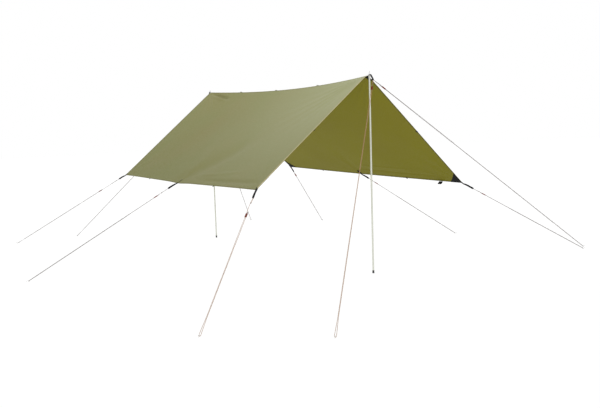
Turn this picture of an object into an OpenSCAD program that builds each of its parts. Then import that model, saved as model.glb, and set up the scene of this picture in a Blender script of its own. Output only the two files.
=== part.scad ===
// Tarp shelter: a 3 m square tarp pitched as a ridge tent over two poles and held by ten guy lines.
// Millimetres. Z is up, Y runs along the ridge from the front pole to the rear pole, and the
// origin is the middle of the front pole's foot, on the ground.

/* [Poles] */
// Distance between the two poles
pole_gap = 3050; // [3040:5:3070]
// Height of the front ridge eyelet above the ground
front_height = 1750; // [1720:5:1780]
// Height of the rear ridge eyelet above the ground
rear_height = 1815; // [1790:5:1840]
// Outside diameter of the pole tubes
pole_d = 16; // [15:0.5:17]
// Wall thickness of the pole tubes
pole_wall = 0.8; // [0.6:0.1:1]
// Length of the swaged neck that joins two tubes
neck_length = 60; // [40:5:80]
// Diameter of the spike that stands in the eyelet
spike_d = 7; // [6:0.5:8]

/* [Canopy] */
// Thickness of the fabric panels, measured upright
fabric = 1.2; // [1:0.1:2]
// Drop of the ridge halfway between the poles
ridge_sag = 54; // [20:1:80]
// Drop of each slope below a straight line from ridge to hem
panel_sag = 18; // [5:1:30]
// How far the hems bow in between two ties
hem_bow = 6; // [0:1:15]
// Width of the stitched hems
hem_width = 25; // [15:1:30]
// Length of the corner patches along each edge
corner_patch = 150; // [100:5:170]
// Length of the patches at the ridge ends along each edge
ridge_patch = 75; // [50:5:90]
// How far an edge tie's patch reaches up the slope
edge_patch = 70; // [50:5:80]
// Width of the black webbing
webbing = 15; // [10:1:20]

/* [Guy lines] */
// Diameter of the cord
cord_d = 3; // [2.5:0.5:3.5]
// Length of the webbing strap at each corner and edge tie
strap_length = 105; // [90:5:120]
// Length of a line runner
runner_length = 42; // [36:1:50]
// Length of a peg's straight shank
peg_length = 150; // [120:5:180]
// Diameter of the peg wire
peg_wire = 4; // [3:0.5:5]
// Lean of the pegs from upright
peg_lean = 35; // [25:1:45]

/* [Hidden] */
SIDES = ["left_front", "left_middle", "left_rear", "right_front", "right_middle", "right_rear",
    "front_left", "front_right", "rear_left", "rear_right"];

olive = [0.57, 0.58, 0.42];
metal = [0.82, 0.83, 0.8];
running = 0.05;   // radial clearance of the tube joints
layer = 0.3;      // gap between two layers of cloth

// Points of the cloth: the two ridge ends and, front to rear, the tie points of each hem.
ridge_rise = 10;
ridge_skew = 0.25;   // how much more the front half of the ridge sags than the rear half
ridge_drop = 10;     // how far the fold over the ridge lies below the two slopes' meeting line
ridge_knee = 0.1;    // share of the slope, from the ridge down, in which that drop fades out
front_apex = [0, 25, front_height + ridge_rise];
rear_apex = [0, pole_gap - 25, rear_height + ridge_rise];
left_ties = [[-1178, 18, 832], [-1178, 1539, 832], [-1151, 3046, 863]];
right_ties = [[1100, -43, 742], [1115, 1500, 785], [1128, 2995, 837]];

// The lower end of each pole's webbing strap, where its two guy lines start.
front_knot = [14, -34, front_height - 38];
rear_knot = [-12, pole_gap + 40, rear_height - 65];

// One row per guy line: tie point, peg point on the ground, gap from tie to cord, tie to runner, and
// the turn of its strap about its own length.
peg_z = 8;
GUYS = [
    [left_ties[0], [-2125, -815, peg_z], strap_length, 295, 45],
    [left_ties[1], [-2585, 1800, peg_z], strap_length, 229, 60],
    [left_ties[2], [-2120, 4455, peg_z], strap_length, 397, -60],
    [right_ties[0], [2370, -480, peg_z], strap_length + 25, 235, 60],
    [right_ties[1], [2270, 1160, peg_z], strap_length, 195, 60],
    [right_ties[2], [1930, 3425, peg_z], strap_length, 155, 45],
    [front_knot, [-1470, -1375, peg_z], 8, 101, 0],
    [front_knot, [2475, -410, peg_z], 8, 107, 0],
    [rear_knot, [-1330, 4550, peg_z], 8, 90, 0],
    [rear_knot, [1220, 4275, peg_z], 8, 100, 0]
];
strand_gap = 4;    // each strand's distance from the middle of the doubled line
loop_radius = 6.5; // of the loop round the peg

function mix(a, b, t) = a + (b - a) * t;
function unit(v) = v / norm(v);
function sum_cross(p, q) = p[0] * q[1] - p[1] * q[0];

// The cloth's upper face: u runs front to rear, w from the left hem (-1) over the ridge to the right.
function ridge_point(u) = mix(front_apex, rear_apex, u)
    - [0, 0, 4 * ridge_sag * u * (1 - u) * (1 + ridge_skew * (1 - 2 * u))];
function hem_point(ties, u) = let(
        half = u < 0.5 ? 0 : 1,
        t = 2 * u - half,
        inward = ties[0][0] < 0 ? 1 : -1
    ) mix(ties[half], ties[half + 1], t) + [4 * hem_bow * inward * t * (1 - t), 0, 0];
function cloth(u, w) = let(
        v = abs(w),
        ridge = ridge_point(u),
        hem = hem_point(w < 0 ? left_ties : right_ties, u),
        drop = ridge_drop * max(0, 1 - v / ridge_knee),
        sag = 16 * panel_sag * u * (1 - u) * v * (1 - v)
    ) mix(ridge, hem, v) - [0, 0, sag + drop];

// A closed skin over a grid of the cloth, between two heights measured from its upper face.
module cloth_grid(us, ws, low, high) {
    rows = len(us);
    cols = len(ws);
    function at(i, j) = i * cols + j;
    count = rows * cols;
    top = [for (u = us, w = ws) cloth(u, w) + [0, 0, high]];
    bottom = [for (u = us, w = ws) cloth(u, w) + [0, 0, low]];
    cells = [for (i = [0:rows - 2], j = [0:cols - 2]) [at(i, j), at(i + 1, j), at(i + 1, j + 1), at(i, j + 1)]];
    front = [for (j = [0:cols - 2]) [at(0, j), at(0, j + 1)]];
    back = [for (j = [0:cols - 2]) [at(rows - 1, j + 1), at(rows - 1, j)]];
    left = [for (i = [0:rows - 2]) [at(i + 1, 0), at(i, 0)]];
    right = [for (i = [0:rows - 2]) [at(i, cols - 1), at(i + 1, cols - 1)]];
    polyhedron(concat(top, bottom), concat(
        [for (c = cells) [c[0], c[1], c[2]]],
        [for (c = cells) [c[0], c[2], c[3]]],
        [for (c = cells) [count + c[0], count + c[2], count + c[1]]],
        [for (c = cells) [count + c[0], count + c[3], count + c[2]]],
        [for (e = concat(front, back, left, right)) [e[0], e[1], count + e[1], count + e[0]]]
    ));
}

// A closed skin over a convex outline given in (w, u), between two heights.
module cloth_patch(outline, low, high) {
    count = len(outline);
    turn = [for (k = [0:count - 1]) sum_cross(outline[k], outline[(k + 1) % count])];
    area = turn * [for (k = turn) 1];
    points = area > 0 ? [for (k = [count - 1:-1:0]) outline[k]] : outline;
    upper = [for (p = points) cloth(p[1], p[0]) + [0, 0, high]];
    lower = [for (p = points) cloth(p[1], p[0]) + [0, 0, low]];
    polyhedron(concat(upper, lower), concat(
        [for (k = [1:count - 2]) [0, k, k + 1]],
        [for (k = [1:count - 2]) [count, count + k + 1, count + k]],
        [for (k = [0:count - 1]) let(n = (k + 1) % count) [n, k, count + k, count + n]]
    ));
}

rows_along = [for (i = [0:24]) i / 24];
steps_down = [for (j = [0:10]) j / 10];
ridge_length = norm(rear_apex - front_apex);
slope_length = norm(left_ties[0] - front_apex);
hem_w = hem_width / slope_length;
hem_u = hem_width / ridge_length;
hem_low = -fabric - layer - 1;
hem_high = -fabric - layer;
patch_high = hem_low - layer;
patch_low = patch_high - 1;

module left_panel() {
    color(olive) cloth_grid(rows_along, [for (k = [10:-1:0]) -steps_down[k]], -fabric, 0);
}

module right_panel() {
    color(olive) cloth_grid(rows_along, steps_down, -fabric, 0);
}

module ridge_seam() {
    half = 10 / slope_length;
    color(olive * 0.85) cloth_grid(rows_along, [-half, 0, half], layer, layer + 1);
}

module side_hems() {
    color(olive * 0.85) for (side = [-1, 1])
        cloth_grid(rows_along, side < 0 ? [-1, -1 + hem_w] : [1 - hem_w, 1], hem_low, hem_high);
}

// Each gable hem stops just short of the side hem.
module gable_hems() {
    reach = 1 - hem_w - 2 / slope_length;
    steps = concat([0], [for (k = [0:7]) mix(ridge_knee, reach, k / 7)]);
    color(olive * 0.85) for (side = [-1, 1], end = [[0, hem_u], [1 - hem_u, 1]])
        cloth_grid(end, side < 0 ? [for (k = [8:-1:0]) -steps[k]] : steps, hem_low, hem_high);
}

module corner_patches() {
    reach_w = corner_patch / slope_length;
    reach_u = corner_patch / ridge_length;
    color("black") for (side = [-1, 1], end = [0, 1])
        cloth_patch([[side, end], [side * (1 - reach_w / 2), end], [side * (1 - reach_w), end],
            [side * (1 - reach_w / 2), abs(end - reach_u / 2)], [side, abs(end - reach_u)],
            [side, abs(end - reach_u / 2)]], patch_low, patch_high);
}

// A narrow strip up the slope from each edge tie.
module edge_patches() {
    half = 12 / ridge_length;
    top = 1 - edge_patch / slope_length;
    color("black") for (side = [-1, 1])
        cloth_patch([[side, 0.5 - half], [side * top, 0.5 - half], [side * top, 0.5 + half],
            [side, 0.5 + half]], patch_low, patch_high);
}

module ridge_patches() {
    reach_w = ridge_patch / slope_length;
    reach_u = ridge_patch / ridge_length;
    color("black") for (side = [-1, 1], end = [0, 1])
        cloth_patch([[0, end], [side * reach_w, end], [0, abs(end - reach_u)]], patch_low, patch_high);
}

// Webbing tab under each ridge end. It carries the eyelet out to the pole.
tab_low = patch_low - layer - 1.2;
tab_high = patch_low - layer;

module ridge_tab(height) {
    translate([0, 0, height - 1]) difference() {
        union() {
            cylinder(h = 2, r = 14, $fn = 48);
            translate([-5, 10.5, -3.6]) cube([10, 4, 5.5]);
        }
        translate([0, 0, -1]) cylinder(h = 4, r = 6.5, $fn = 48);
    }
}

module ridge_tabs() {
    half = 12 / slope_length;
    start = -14 / ridge_length;
    end = 80 / ridge_length;
    color("black") {
        union() {
            ridge_tab(front_height);
            cloth_grid([start, end], [-half, 0, half], tab_low, tab_high);
        }
        union() {
            translate([0, pole_gap, 0]) rotate([0, 0, 180]) ridge_tab(rear_height);
            cloth_grid([1 - end, 1 - start], [-half, 0, half], tab_low, tab_high);
        }
    }
}

eyelet_hole = 5.5;
eyelet_half = 1.8;

module ridge_eyelets() {
    color("silver") for (place = [[0, 0, front_height], [0, pole_gap, rear_height]])
        translate(place) rotate_extrude($fn = 64) polygon([
            [eyelet_hole, -eyelet_half], [10, -eyelet_half], [10, -1.05], [6.4, -1.05],
            [6.4, 1.05], [10, 1.05], [10, eyelet_half], [eyelet_hole, eyelet_half]]);
}

// A small webbing loop, lying open along Y.
module webbing_loop() {
    rotate([90, 0, 0]) translate([0, 0, -webbing / 2]) difference() {
        cylinder(h = webbing, r = 6, $fn = 12);
        translate([0, 0, -1]) cylinder(h = webbing + 2, r = 4.6, $fn = 12);
    }
}

module ridge_loops() {
    color("black") for (u = [0.25, 0.5, 0.75])
        translate(cloth(u, 0) + [0, 0, 8]) webbing_loop();
}

// A flat loop tab under an edge, lying along X. It stands 8 mm out from the edge.
module edge_tab() {
    translate([-14, -webbing / 2, -4.8]) difference() {
        cube([22, webbing, 1.6]);
        translate([15, 4, -1]) cube([5, webbing - 8, 4]);
    }
}

module hem_loops() {
    color("black") for (side = [-1, 1], u = [0.25, 0.75]) {
        place = cloth(u, side);
        ridge = ridge_point(u);
        slope = atan2(ridge[2] - place[2], abs(place[0]));
        translate(place) rotate([0, 0, side < 0 ? 180 : 0]) rotate([0, slope, 0]) edge_tab();
    }
}

module gable_loops() {
    color("black") for (side = [-1, 1], end = [0, 1]) {
        place = cloth(end, side * 0.5);
        top = end == 0 ? front_apex : rear_apex;
        slope = atan2(top[2] - place[2], abs(place[0]));
        translate(place) rotate([0, side * slope, 0]) rotate([0, 0, end == 0 ? -90 : 90]) edge_tab();
    }
}

// A flat strap of webbing from one point to another. Its width is level, but for the turn.
module strap(from, to, width, thick, turn) {
    along = unit(to - from);
    level = unit(cross(along, [0, 0, 1]));
    across = (level * cos(turn) + cross(level, along) * sin(turn)) * width / 2;
    up = unit(cross(across, along)) * thick / 2;
    ring = [across + up, up - across, -across - up, across - up];
    polyhedron([for (end = [from, to], r = ring) end + r],
        [[0, 1, 5, 4], [1, 2, 6, 5], [2, 3, 7, 6], [3, 0, 4, 7], [0, 3, 2, 1], [4, 5, 6, 7]]);
}

module tie_strap(guy) {
    along = unit(guy[1] - guy[0]);
    strap(guy[0] - along * 8 - [0, 0, 3], guy[0] + along * strap_length, webbing, 3, guy[4]);
}

module corner_straps() {
    color("black") for (k = [0, 2, 3, 5]) tie_strap(GUYS[k]);
}

module edge_straps() {
    color("black") for (k = [1, 4]) tie_strap(GUYS[k]);
}

// The webbing on a spike: one leg down to the knot of that pole's two guy lines, and one from there
// back to the canopy, just under a slope.
module pole_strap(top, knot, lug) {
    out = knot[1] < top[1] ? -1 : 1;
    translate(top + [0, 0, 8]) difference() {
        union() {
            cylinder(h = 2, r = 13, $fn = 48);
            translate([-webbing / 2, out < 0 ? -16 : 8, 0]) cube([webbing, 8, 2]);
        }
        translate([0, 0, -1]) cylinder(h = 4, r = 8, $fn = 48);
    }
    strap(top + [0, out * 14.5, 8.4], knot, webbing - 1, 2.4, 0);
    strap(knot, lug, webbing - 1, 2.4, -roof_pitch);
    translate(knot - [0, 0, 6]) cylinder(h = 12, r = 5, $fn = 32);
}

lug_u = 0.003;
lug_w = 0.03;
lug_drop = [0, 0, 7];
roof_pitch = 42;

module front_strap() {
    color("black") pole_strap([0, 0, front_height], front_knot, cloth(lug_u, lug_w) - lug_drop);
}

module rear_strap() {
    color("black") pole_strap([0, pole_gap, rear_height], rear_knot, cloth(1 - lug_u, -lug_w) - lug_drop);
}

// A doubled tab of black webbing that hangs slanting inward under the right hem, near the front.
hem_tab_place = cloth(0.09, 1) - [2, 0, 5];
hem_tab_slant = 135;   // turn about Y from level outward
hem_tab_size = [36, 46, 2.4];

module hem_tab() {
    corner = 3;
    color("black") translate(hem_tab_place) rotate([0, hem_tab_slant, 0])
        linear_extrude(hem_tab_size[2], center = true) offset(r = corner, $fn = 24)
            translate([corner, corner - hem_tab_size[1] / 2])
                square([hem_tab_size[0] - 2 * corner, hem_tab_size[1] - 2 * corner]);
}

// Route of a guy line: from its tie, both strands side by side to the peg, and back to the runner.
function guy_along(guy) = unit(guy[1] - guy[0]);
function guy_side(guy) = unit(cross(guy_along(guy), [0, 0, 1]));
function guy_route(guy) = let(
        along = guy_along(guy),
        side = guy_side(guy),
        centre = guy[1] - along * 2.7,
        start = guy[0] + along * guy[2]
    ) concat(
        [start, start + along * 15, start + along * 50 + side * strand_gap],
        [guy[1] - along * 90 + side * strand_gap, centre + side * loop_radius - along * 12],
        [for (a = [-90:30:90]) centre + loop_radius * (along * cos(a) - side * sin(a))],
        [centre - side * loop_radius - along * 12, guy[1] - along * 90 - side * strand_gap],
        [guy[0] + along * (guy[3] - 10) - side * strand_gap]
    );

// A round cord swept along a route, its rings square to the mean of the two neighbouring stretches.
module cord(route, diameter, reference) {
    sides = 8;
    last = len(route) - 1;
    heading = [for (k = [0:last]) unit(route[min(k + 1, last)] - route[max(k - 1, 0)])];
    rings = [for (k = [0:last], s = [0:sides - 1]) let(
            across = unit(cross(heading[k], reference)),
            up = cross(across, heading[k]),
            angle = 360 * s / sides
        ) route[k] + diameter / 2 * (across * cos(angle) + up * sin(angle))];
    polyhedron(rings, concat(
        [[for (s = [0:sides - 1]) s]],
        [[for (s = [sides - 1:-1:0]) last * sides + s]],
        [for (k = [0:last - 1], s = [0:sides - 1]) let(n = (s + 1) % sides)
            [k * sides + n, k * sides + s, (k + 1) * sides + s, (k + 1) * sides + n]]
    ));
}

module guy(k) {
    color([0.85, 0.83, 0.8])
        cord(guy_route(GUYS[k]), cord_d, cross(guy_side(GUYS[k]), guy_along(GUYS[k])));
}

// Turns the X axis onto a guy line, with Y level and square to it.
module on_guy(guy, distance) {
    along = guy_along(guy);
    translate(guy[0] + along * distance)
        rotate([0, atan2(-along[2], norm([along[0], along[1]])), atan2(along[1], along[0])]) children();
}

// A flat bar with a long bore for each strand.
module runner(k) {
    color([0.7, 0.25, 0.12]) on_guy(GUYS[k], GUYS[k][3]) difference() {
        rotate([0, 90, 0]) linear_extrude(runner_length) offset(r = 1.5, $fn = 24) square([3.6, 13.4], center = true);
        for (y = [-strand_gap, strand_gap])
            translate([-1, y, 0]) rotate([0, 90, 0]) cylinder(h = runner_length + 2, r = cord_d / 2 + 0.35, $fn = 32);
    }
}

// A hook peg of bent wire, driven in with its hook leaning away from the canopy.
module peg(k) {
    guy = GUYS[k];
    along = guy_along(guy);
    hook = 8;
    rise = 9;
    color("silver") translate(guy[1])
        rotate([0, 0, atan2(along[1], along[0])]) rotate([0, peg_lean, 0]) {
            translate([0, 0, -peg_length]) cylinder(h = peg_length + rise, r = peg_wire / 2, $fn = 32);
            translate([0, 0, -peg_length - 8]) cylinder(h = 8, r1 = 0.6, r2 = peg_wire / 2, $fn = 32);
            translate([hook, 0, rise]) rotate([90, 0, 0])
                rotate_extrude(angle = 180, $fn = 48) translate([hook, 0]) circle(r = peg_wire / 2, $fn = 32);
            translate([2 * hook, 0, rise - 8]) cylinder(h = 8, r = peg_wire / 2, $fn = 32);
        }
}

// Pole: spike, three tubes joined by swaged necks, foot cap and the elastic cord inside.
outer = pole_d / 2;
bore = outer - pole_wall;
neck = bore - running;
tube_foot = 3;
swage = 4;          // height of the thick ring where a tube narrows to its neck
tube_gap = 0.3;     // between the ends of two tubes that stand on each other
shoulder = 5;       // from the eyelet's middle down to the spike's collar
collar = 2;
plug = 30;

function tube_top(height) = height - shoulder - collar;
function tube_length(height) = (tube_top(height) - tube_foot) / 3;

module pole_spike(height) {
    color("silver") union() {
        translate([0, 0, height - shoulder - collar]) cylinder(h = collar, r = outer, $fn = 48);
        translate([0, 0, height - shoulder]) cylinder(h = 40, r = spike_d / 2, $fn = 32);
        translate([0, 0, height - shoulder + 40]) cylinder(h = 5, r1 = spike_d / 2, r2 = 1.2, $fn = 32);
        translate([0, 0, tube_top(height) - plug]) cylinder(h = plug, r = neck, $fn = 48);
    }
}

// Tube number 0 is the lower one, 2 the upper one. The two upper tubes end in a neck.
module pole_tube(height, number) {
    length = tube_length(height);
    base = tube_foot + number * length;
    start = number > 0 ? tube_gap : 0;
    color(metal) translate([0, 0, base]) difference() {
        union() {
            translate([0, 0, start]) cylinder(h = length - start, r = outer, $fn = 64);
            if (number > 0) translate([0, 0, -neck_length])
                cylinder(h = neck_length + swage, r = neck, $fn = 64);
        }
        translate([0, 0, number > 0 ? swage : -1]) cylinder(h = length + 2, r = bore, $fn = 64);
        if (number > 0) translate([0, 0, -neck_length - 1])
            cylinder(h = neck_length + swage + 2, r = neck - pole_wall, $fn = 64);
    }
}

module pole_foot() {
    color("black") difference() {
        union() {
            cylinder(h = 26, r = outer + 1, $fn = 64);
            cylinder(h = 3, r = outer + 1.6, $fn = 64);
        }
        translate([0, 0, tube_foot]) cylinder(h = 30, r = outer + 0.02, $fn = 64);
    }
}

module pole_cord(height) {
    color("white") translate([0, 0, tube_foot + 2])
        cylinder(h = tube_top(height) - plug - tube_foot - 2, r = 1.5, $fn = 24);
}

module pole_part(height, piece) {
    if (piece == "spike") pole_spike(height);
    if (piece == "upper") pole_tube(height, 2);
    if (piece == "middle") pole_tube(height, 1);
    if (piece == "lower") pole_tube(height, 0);
    if (piece == "foot") pole_foot();
    if (piece == "cord") pole_cord(height);
}

left_panel();
right_panel();
ridge_seam();
side_hems();
gable_hems();
corner_patches();
edge_patches();
ridge_patches();
ridge_tabs();
ridge_eyelets();
ridge_loops();
hem_loops();
gable_loops();
corner_straps();
edge_straps();
front_strap();
rear_strap();
hem_tab();
for (k = [0:9]) guy(k);
for (k = [0:9]) runner(k);
for (k = [0:9]) peg(k);
for (piece = ["spike", "upper", "middle", "lower", "foot", "cord"])
    pole_part(front_height, piece);
for (piece = ["spike", "upper", "middle", "lower", "foot", "cord"])
    translate([0, pole_gap, 0]) pole_part(rear_height, piece);
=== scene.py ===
"""Tarp shelter: looks for a square ridge tarp on two poles, held by ten guy lines. Metres, Z up.
The origin is the front pole's foot and Y runs along the ridge, as in the CAD frame."""
import math

import bmesh
import bpy
import numpy as np
from mathutils import Matrix, Vector, noise


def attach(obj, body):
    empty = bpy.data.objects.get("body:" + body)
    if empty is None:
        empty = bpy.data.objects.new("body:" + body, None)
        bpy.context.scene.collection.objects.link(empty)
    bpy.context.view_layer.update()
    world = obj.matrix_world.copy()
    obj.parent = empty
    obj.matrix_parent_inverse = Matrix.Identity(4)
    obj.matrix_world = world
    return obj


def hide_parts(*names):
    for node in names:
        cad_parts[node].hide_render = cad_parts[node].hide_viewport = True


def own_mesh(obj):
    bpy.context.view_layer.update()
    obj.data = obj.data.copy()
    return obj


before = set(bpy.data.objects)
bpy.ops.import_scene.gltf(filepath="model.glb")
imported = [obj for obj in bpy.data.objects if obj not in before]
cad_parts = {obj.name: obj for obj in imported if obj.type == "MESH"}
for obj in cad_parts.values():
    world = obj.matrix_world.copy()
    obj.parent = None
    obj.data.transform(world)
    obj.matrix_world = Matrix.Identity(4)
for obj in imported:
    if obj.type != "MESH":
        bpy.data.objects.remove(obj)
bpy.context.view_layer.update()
scene = bpy.context.scene

# ---------------------------------------------------------------- driving sizes, as in the CAD
POLE_GAP = 3.05
EYELET_Z = {"front": 1.750, "rear": 1.815}
POLE_Y = {"front": 0.0, "rear": POLE_GAP}
RIDGE_RISE = 0.010
FRONT_APEX = np.array([0, 0.025, EYELET_Z["front"] + RIDGE_RISE])
REAR_APEX = np.array([0, POLE_GAP - 0.025, EYELET_Z["rear"] + RIDGE_RISE])
LEFT_TIES = np.array([[-1.178, 0.018, 0.832], [-1.178, 1.539, 0.832], [-1.151, 3.046, 0.863]])
RIGHT_TIES = np.array([[1.100, -0.043, 0.742], [1.115, 1.500, 0.785], [1.128, 2.995, 0.837]])
RIDGE_SAG = 0.054
RIDGE_SKEW = 0.25         # how much more the front half sags than the rear half
RIDGE_ROUND = 0.011       # rounding of the fold over the ridge, as a share of the slope
PANEL_SAG = 0.018
HEM_BOW = 0.006
CLOTH_LENGTH = 3.0        # along the ridge
CLOTH_SLOPE = 1.5         # from ridge to hem
CLOTH_THICK = 0.0006
CORD_D = 0.003
STRAP_LENGTH = 0.105
KNOT_GAP = 0.008          # from the knot on a pole's strap to the cord
RUNNER_LENGTH = 0.042
RUNNER_TRAVEL = 0.25
STRAND_GAP = 0.004        # of each strand from the middle of the line, at the runner
CLOSE_GAP = 0.0024        # the same, beyond the runner's travel
LOOP_RADIUS = 0.0065      # of the cord's turn round the peg
LOOP_BACK = 0.0027        # of that turn's centre from the peg, toward the tie
PEG_Z = 0.008
FRONT_KNOT = np.array([0.014, -0.034, EYELET_Z["front"] - 0.038])
REAR_KNOT = np.array([-0.012, POLE_GAP + 0.040, EYELET_Z["rear"] - 0.065])

# One row per guy line: tie point, peg point, gap from tie to cord, tie to runner, turn of its strap
# about its own length, and length of the loop that ties it on.
GUYS = {
    "left_front": (LEFT_TIES[0], (-2.125, -0.815, PEG_Z), STRAP_LENGTH, 0.295, 45, 0.062),
    "left_middle": (LEFT_TIES[1], (-2.585, 1.800, PEG_Z), STRAP_LENGTH, 0.229, 60, 0.080),
    "left_rear": (LEFT_TIES[2], (-2.120, 4.455, PEG_Z), STRAP_LENGTH, 0.397, -60, 0.120),
    "right_front": (RIGHT_TIES[0], (2.370, -0.480, PEG_Z), STRAP_LENGTH + 0.025, 0.235, 60, 0.070),
    "right_middle": (RIGHT_TIES[1], (2.270, 1.160, PEG_Z), STRAP_LENGTH, 0.195, 60, 0.056),
    "right_rear": (RIGHT_TIES[2], (1.930, 3.425, PEG_Z), STRAP_LENGTH, 0.155, 45, 0.030),
    "front_left": (FRONT_KNOT, (-1.470, -1.375, PEG_Z), KNOT_GAP, 0.101, 0, 0.050),
    "front_right": (FRONT_KNOT, (2.475, -0.410, PEG_Z), KNOT_GAP, 0.107, 0, 0.075),
    "rear_left": (REAR_KNOT, (-1.330, 4.550, PEG_Z), KNOT_GAP, 0.090, 0, 0.050),
    "rear_right": (REAR_KNOT, (1.220, 4.275, PEG_Z), KNOT_GAP, 0.100, 0, 0.060),
}


def unit(v):
    return np.asarray(v, float) / np.linalg.norm(v)


def unit_rows(vectors):
    return vectors / np.linalg.norm(vectors, axis=1)[:, None]


# ---------------------------------------------------------------- mesh helpers
def new_object(name, verts, faces, uvs=None, material=None, smooth=True):
    """A mesh object. uvs holds one (u, v) pair in metres per vertex of each face, in face order."""
    mesh = bpy.data.meshes.new(name)
    mesh.from_pydata([tuple(float(c) for c in v) for v in verts], [], faces)
    mesh.update()
    if uvs is not None:
        layer = mesh.uv_layers.new(name="metres")
        layer.data.foreach_set("uv", np.asarray(uvs, float).ravel())
    if smooth:
        mesh.polygons.foreach_set("use_smooth", [True] * len(mesh.polygons))
    obj = bpy.data.objects.new(name, mesh)
    scene.collection.objects.link(obj)
    if material:
        mesh.materials.append(material)
    return obj


def frames_along(points, up):
    """Unit across and up vectors at each point of a path."""
    points = np.asarray(points, float)
    ahead = unit_rows(np.gradient(points, axis=0))
    across = unit_rows(np.cross(ahead, up))
    return across, np.cross(across, ahead)


def distances(points):
    """How far along a path each of its points is."""
    return np.concatenate([[0], np.cumsum(np.linalg.norm(np.diff(points, axis=0), axis=1))])


def tube(name, verts, run, marks, material):
    """A tube of equal rings of vertices, capped at both ends. run holds each ring's place along it, and
    marks each vertex's place in its ring, with one more that closes the ring. Both are metres."""
    count = len(marks) - 1
    last = len(run) - 1
    faces, uvs = [], []
    for i in range(last):
        for k in range(count):
            n = (k + 1) % count
            faces.append((i * count + k, i * count + n, (i + 1) * count + n, (i + 1) * count + k))
            uvs += [(run[i], marks[k]), (run[i], marks[k + 1]),
                    (run[i + 1], marks[k + 1]), (run[i + 1], marks[k])]
    for ring, order in ((0, range(count - 1, -1, -1)), (last, range(count))):
        faces.append([ring * count + k for k in order])
        uvs += [(run[ring], marks[k]) for k in order]
    return new_object(name, verts, faces, uvs, material)


def sweep(name, points, outline, up, material):
    """Sweeps a closed outline of (across, up) pairs along a path. UVs are metres along and around."""
    points = np.asarray(points, float)
    across, upward = frames_along(points, up)
    outline = np.asarray(outline, float)
    verts = [points[i] + across[i] * a + upward[i] * b for i in range(len(points)) for a, b in outline]
    around = distances(np.vstack([outline, outline[:1]]))
    return tube(name, verts, distances(points), around, material)


def circle(radius, sides):
    return [(radius * math.cos(2 * math.pi * k / sides), radius * math.sin(2 * math.pi * k / sides))
            for k in range(sides)]


def flat_outline(width, thick):
    """Outline of a flat band with rounded edges."""
    half, r = width / 2, thick / 2
    right = [(half - r + r * math.cos(a), r * math.sin(a)) for a in np.radians([-90, -45, 0, 45, 90])]
    return right + [(0, r)] + [(-x, -y) for x, y in right] + [(0, -r)]


def marks_across(outline):
    """Places across a flat band, the same on both of its faces."""
    return [x for x, _ in outline] + [outline[0][0]]


def smooth_path(points, step):
    """A Catmull-Rom curve through the points, resampled about every step metres."""
    p = np.asarray(points, float)
    p = np.vstack([2 * p[0] - p[1], p, 2 * p[-1] - p[-2]])
    out = []
    for i in range(1, len(p) - 2):
        pieces = max(2, int(np.linalg.norm(p[i + 1] - p[i]) / step))
        for t in np.linspace(0, 1, pieces, endpoint=False):
            out.append(0.5 * (2 * p[i] + (p[i + 1] - p[i - 1]) * t
                              + (2 * p[i - 1] - 5 * p[i] + 4 * p[i + 1] - p[i + 2]) * t ** 2
                              + (3 * p[i] - p[i - 1] - 3 * p[i + 1] + p[i + 2]) * t ** 3))
    out.append(p[-2])
    return np.array(out)


# ---------------------------------------------------------------- materials
def material(name, colour, roughness, metallic=0.0):
    mat = bpy.data.materials.new(name)
    mat.use_nodes = True
    shader = mat.node_tree.nodes["Principled BSDF"]
    shader.inputs["Base Color"].default_value = (*colour, 1)
    shader.inputs["Roughness"].default_value = roughness
    shader.inputs["Metallic"].default_value = metallic
    return mat, mat.node_tree.nodes, mat.node_tree.links, shader


def math_node(nodes, links, kind, *values):
    node = nodes.new("ShaderNodeMath")
    node.operation = kind
    for slot, value in enumerate(values):
        if isinstance(value, (int, float)):
            node.inputs[slot].default_value = value
        else:
            links.new(value, node.inputs[slot])
    return node.outputs[0]


def mix_colour(nodes, links, factor, a, b):
    node = nodes.new("ShaderNodeMix")
    node.data_type = "RGBA"
    if isinstance(factor, (int, float)):
        node.inputs["Factor"].default_value = factor
    else:
        links.new(factor, node.inputs["Factor"])
    for value, slot in ((a, 6), (b, 7)):
        if isinstance(value, tuple):
            node.inputs[slot].default_value = (*value, 1)
        else:
            links.new(value, node.inputs[slot])
    return node.outputs[2]


def noise_node(nodes, links, vector, scale, detail=3.0):
    node = nodes.new("ShaderNodeTexNoise")
    node.inputs["Scale"].default_value = scale
    node.inputs["Detail"].default_value = detail
    links.new(vector, node.inputs["Vector"])
    return node.outputs["Fac"]


def ramp(nodes, links, value, low, high, to_low=0.0, to_high=1.0):
    node = nodes.new("ShaderNodeMapRange")
    node.clamp = True
    links.new(value, node.inputs["Value"])
    for slot, number in (("From Min", low), ("From Max", high), ("To Min", to_low), ("To Max", to_high)):
        node.inputs[slot].default_value = number
    return node.outputs["Result"]


def bump(nodes, links, shader, height, distance, strength=1.0):
    node = nodes.new("ShaderNodeBump")
    node.inputs["Distance"].default_value = distance
    node.inputs["Strength"].default_value = strength
    links.new(height, node.inputs["Height"])
    links.new(node.outputs["Normal"], shader.inputs["Normal"])


def uv_metres(nodes):
    node = nodes.new("ShaderNodeUVMap")
    node.uv_map = "metres"
    return node.outputs["UV"]


def split(nodes, links, vector):
    node = nodes.new("ShaderNodeSeparateXYZ")
    links.new(vector, node.inputs[0])
    return node.outputs


def stripes(nodes, links, value, pitch, width):
    """1 in a stripe of the given width at every pitch, else 0."""
    place = math_node(nodes, links, "PINGPONG", value, pitch / 2)
    return math_node(nodes, links, "LESS_THAN", place, width / 2)


def wave(nodes, links, value, pitch):
    """A sine that repeats whenever the value grows by one pitch."""
    return math_node(nodes, links, "SINE", math_node(nodes, links, "MULTIPLY", value, 2 * math.pi / pitch))


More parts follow.
